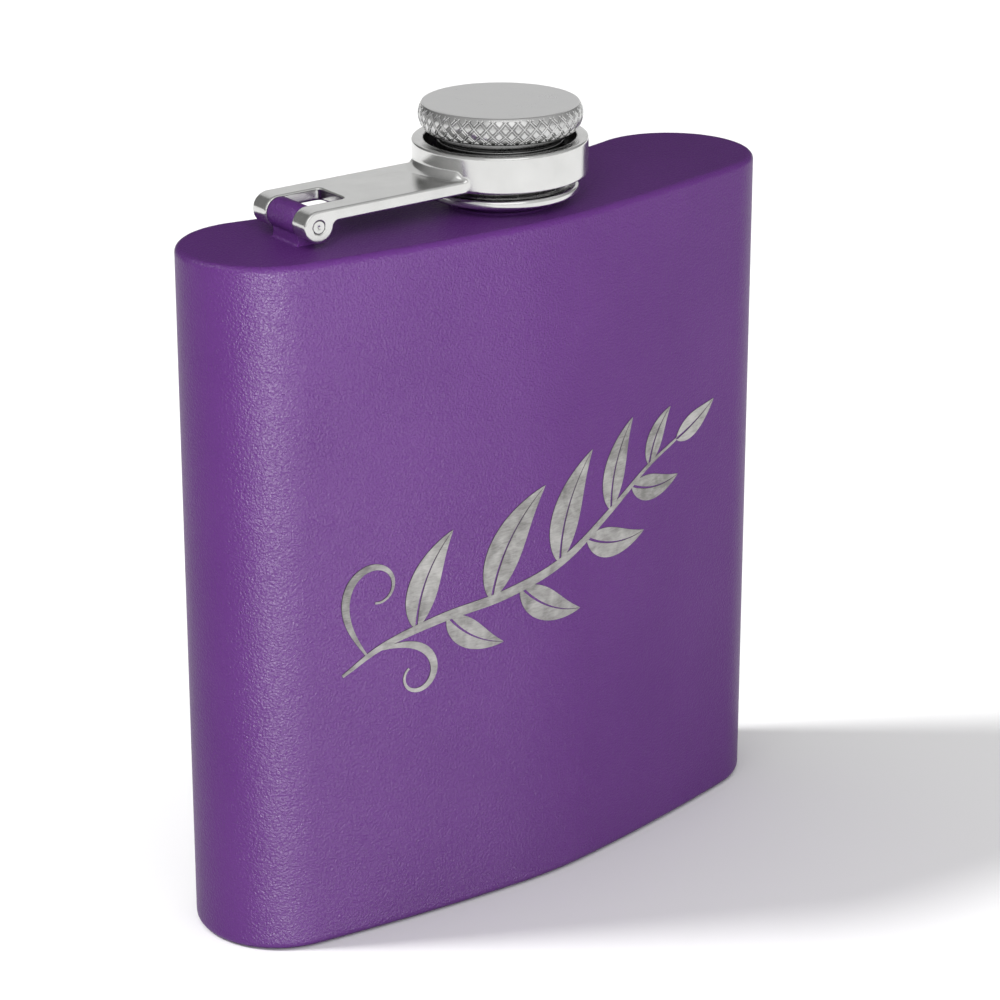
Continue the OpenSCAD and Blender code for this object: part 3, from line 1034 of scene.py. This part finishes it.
def build_object():
    """Makes every piece. Returns the coated ones and the rest, which are lit apart."""
    coat = purple_coat()
    polished = steel("polished_steel", (0.62, 0.62, 0.61), (0.70, 0.70, 0.69), 0.14, 0.24,
                     0.000004)
    satin = steel("satin_steel", (0.60, 0.60, 0.60), (0.66, 0.66, 0.655), 0.26, 0.36, 0.000006)
    knurled = steel("knurled_steel", (0.52, 0.52, 0.515), (0.60, 0.60, 0.595), 0.2, 0.28,
                    0.000003)
    # Steel darkened to paint in shade where little light gets: the ring's bore, the sleeve in
    # the gap under the ring and the knurl's grooves.
    painted_shade = steel("painted_shade_steel", (0.22, 0.22, 0.22), (0.30, 0.30, 0.298), 0.22, 0.34,
                   0.000004)
    raw = steel("bare_steel", (0.50, 0.495, 0.49), (0.60, 0.595, 0.585), 0.30, 0.45, 0.00001)

    points, faces = flask_shell()
    shell = piece("flask_shell", points, faces, [coat], "flask",
                  ["body_wall", "top_plate", "bottom_plate"], sharp=50)

    points, faces = neck_mesh()
    foot_top = NECK_FOOT_T + 0.3
    on_foot = [int(max(points[i][2] for i in face) < foot_top) for face in faces]
    neck = piece("threaded_neck", on_top(points), faces, [raw, coat], "flask",
                 ["neck"], face_material=on_foot)

    points, faces = knuckle_mesh()
    points = on_arm(points + np.array([-ARM_REACH, 0, 0]))
    knuckle = piece("hinge_knuckle", points, faces, [coat], "flask", ["hinge_lug"])

    strokes = sprig_strokes()
    steel_part = inlay(strokes, SPRIG_LIFT)
    # A dark copy of the strokes, shifted, under the steel ones: painted shadow of the
    # engraving's step.
    shadow_part = inlay(strokes, SHADOW_LIFT, SHADOW_SHIFT)
    points, faces = join(steel_part, shadow_part)
    which = [0] * len(steel_part[1]) + [1] * len(shadow_part[1])
    sprig = piece("leaf_sprig", points, faces, [engraved_steel(), painted_recess_shadow()], "flask",
                  face_material=which)

    points, faces = arm_mesh()
    centres = np.array([points[face].mean(axis=0) for face in faces])
    # Faces in the ring's bore take the darkened steel: painted shade inside the ring.
    in_bore = (np.hypot(centres[:, 0], centres[:, 1]) < RING_BORE_R + 0.06).astype(int)
    arm = piece("captive_arm", on_arm(tilted(points)), faces, [polished, painted_shade], "arm",
                ["arm"], sharp=0, face_material=in_bore)
    points, faces = pin_mesh()
    pin = piece("hinge_pin_turned", on_arm(tilted(points)), faces, [polished], "arm",
                ["hinge_pin"])

    points, faces, which = knob_mesh()
    knob = piece("knurled_knob", on_top(points), faces, [knurled, satin, painted_shade], "cap",
                 ["cap_knob"], sharp=28, face_material=which)
    points, faces = skirt_mesh()
    # The sleeve sits in the gap under the ring and is all darkened steel: painted shade.
    sleeve = piece("cap_sleeve", on_top(points), faces, [painted_shade], "cap",
                   ["cap_skirt"])
    points, faces = flange_mesh()
    flange = piece("cap_flange", on_top(points), faces, [polished], "cap",
                   ["retaining_flange"])
    points, faces = seal_mesh()
    washer = piece("seal_washer", on_top(points), faces, [silicone()], "seal",
                   ["cap_seal"])
    return [shell, knuckle], [neck, sprig, arm, pin, knob, sleeve, flange, washer]


# ---------------------------------------------------------------- floor, light and camera

CAM_AZIMUTH, CAM_ELEVATION = math.radians(40.774), math.radians(18.876)
CAM_DISTANCE, CAM_TARGET_SIDE, CAM_TARGET_Z = 435.40, -0.059, 67.359
CAM_LENS, CAM_SHIFT_Y = 114.61, -0.1
WORLD_BRIGHT_AZIMUTH, WORLD_BRIGHT, WORLD_DIM = 22, 0.8, 0.08


def floor():
    """A broad sheet of white paper just under the flask."""
    size, rows = 6.0, 24
    line = np.linspace(-size / 2, size / 2, rows + 1)
    mesh = bpy.data.meshes.new("studio_floor")
    mesh.from_pydata([(x, y, 0.0) for y in line for x in line], [],
                     [(j * (rows + 1) + i, j * (rows + 1) + i + 1, (j + 1) * (rows + 1) + i + 1,
                       (j + 1) * (rows + 1) + i) for j in range(rows) for i in range(rows)])
    mesh.materials.append(floor_paper())
    obj = bpy.data.objects.new("studio_floor", mesh)
    bpy.context.scene.collection.objects.link(obj)
    return obj


def aim(obj, target):
    """Turns a lamp or camera so that its -Z looks at a point."""
    direction = Vector(target) - obj.location
    obj.rotation_euler = direction.to_track_quat("-Z", "Y").to_euler()


def direction_from(azimuth, elevation):
    """Unit vector from the object towards a light. Azimuth is measured like the camera's."""
    a, e = math.radians(azimuth), math.radians(elevation)
    return Vector((-math.sin(a) * math.cos(e), -math.cos(a) * math.cos(e), math.sin(e)))


def softbox(name, azimuth, elevation, distance, width, height, power):
    """A rectangular lamp round the object: angles in degrees, lengths in metres, watts."""
    lamp = bpy.data.lights.new(name, "AREA")
    lamp.shape = "RECTANGLE"
    lamp.size, lamp.size_y = width, height
    lamp.energy = power
    obj = bpy.data.objects.new(name, lamp)
    bpy.context.scene.collection.objects.link(obj)
    middle = Vector((0, 0, 0.05))
    obj.location = middle + direction_from(azimuth, elevation) * distance
    obj.visible_camera = False
    aim(obj, middle)
    return obj


def only_on(lamp, name, objects):
    """The lamp lights only these objects, and everything still throws its shadow."""
    group = bpy.data.collections.get(name) or bpy.data.collections.new(name)
    for obj in objects:
        if obj.name not in group.objects:
            group.objects.link(obj)
    lamp.light_linking.receiver_collection = group


def lights(paper, coated, metal):
    """Lamps for the coat, the bare metal and the paper, each with its own level."""
    only_on(softbox("coat_softbox", 40, 30, 0.36, 0.25, 0.3, 1.25), "coated_pieces", coated)
    for gloss in (softbox("coat_gloss", 38, -8, 1.3, 0.4, 0.36, 60),
                  softbox("coat_sheen", -6, -14, 1.3, 0.5, 0.6, 22),
                  softbox("coat_rim", 126, 46, 1.3, 0.15, 0.15, 14)):
        gloss.visible_diffuse = False  # it only adds glints
        only_on(gloss, "coated_pieces", coated)
        gloss.light_linking.blocker_collection = bpy.data.collections["coated_pieces"]
    only_on(softbox("metal_front", 30, 30, 1.3, 1.2, 0.8, 2.4), "metal_pieces", metal)
    only_on(softbox("metal_back", 221, 22, 1.6, 2.2, 1.2, 5.1), "metal_pieces", metal)
    only_on(softbox("paper_fill", 40, 85, 1.8, 2.5, 2.5, 16), "paper_only", [paper])
    sun = bpy.data.lights.new("floor_key", "SUN")
    sun.energy = 2.4
    sun.angle = math.radians(9)
    key = bpy.data.objects.new("floor_key", sun)
    bpy.context.scene.collection.objects.link(key)
    key.location = direction_from(126, 50) * 2
    aim(key, (0, 0, 0))
    only_on(key, "paper_only", [paper])


def world():
    """Soft white surround, brightest behind the camera and dimmer behind the flask."""
    surround = bpy.data.worlds.new("studio_surround")
    surround.use_nodes = True
    bpy.context.scene.world = surround
    tree = surround.node_tree
    back = tree.nodes["Background"]
    place = tree.nodes.new("ShaderNodeTexCoord").outputs["Generated"]
    facing = tree.nodes.new("ShaderNodeVectorMath")
    facing.operation = "DOT_PRODUCT"
    tree.links.new(place, facing.inputs[0])
    facing.inputs[1].default_value = direction_from(WORLD_BRIGHT_AZIMUTH, 10)
    level = tree.nodes.new("ShaderNodeMapRange")
    for name, value in (("From Min", -1.0), ("From Max", 1.0),
                        ("To Min", WORLD_DIM), ("To Max", WORLD_BRIGHT)):
        level.inputs[name].default_value = value
    tree.links.new(facing.outputs["Value"], level.inputs["Value"])
    tree.links.new(level.outputs["Result"], back.inputs["Color"])
    back.inputs["Strength"].default_value = 1.0


def camera():
    """Camera at the product view: looking down at the front from its left."""
    sa, ca = math.sin(CAM_AZIMUTH), math.cos(CAM_AZIMUTH)
    se, ce = math.sin(CAM_ELEVATION), math.cos(CAM_ELEVATION)
    ahead = np.array([sa * ce, ca * ce, -se])
    right = np.array([ca, -sa, 0.0])
    up = np.cross(right, ahead)
    target = CAM_TARGET_SIDE * right + np.array([0, AXIS_Y, CAM_TARGET_Z])
    data = bpy.data.cameras.new("product_camera")
    data.sensor_width = 36.0
    data.lens = CAM_LENS
    data.shift_y = CAM_SHIFT_Y
    data.clip_start, data.clip_end = 0.01, 20
    obj = bpy.data.objects.new("product_camera", data)
    bpy.context.scene.collection.objects.link(obj)
    pose = Matrix(np.column_stack([right, up, -ahead]).tolist()).to_4x4()
    pose.translation = Vector((target - ahead * CAM_DISTANCE) * MM)
    obj.matrix_world = pose
    bpy.context.scene.camera = obj


bpy.context.scene.view_settings.view_transform = "Standard"
coated, metal = build_object()
lights(floor(), coated, metal)
world()
camera()
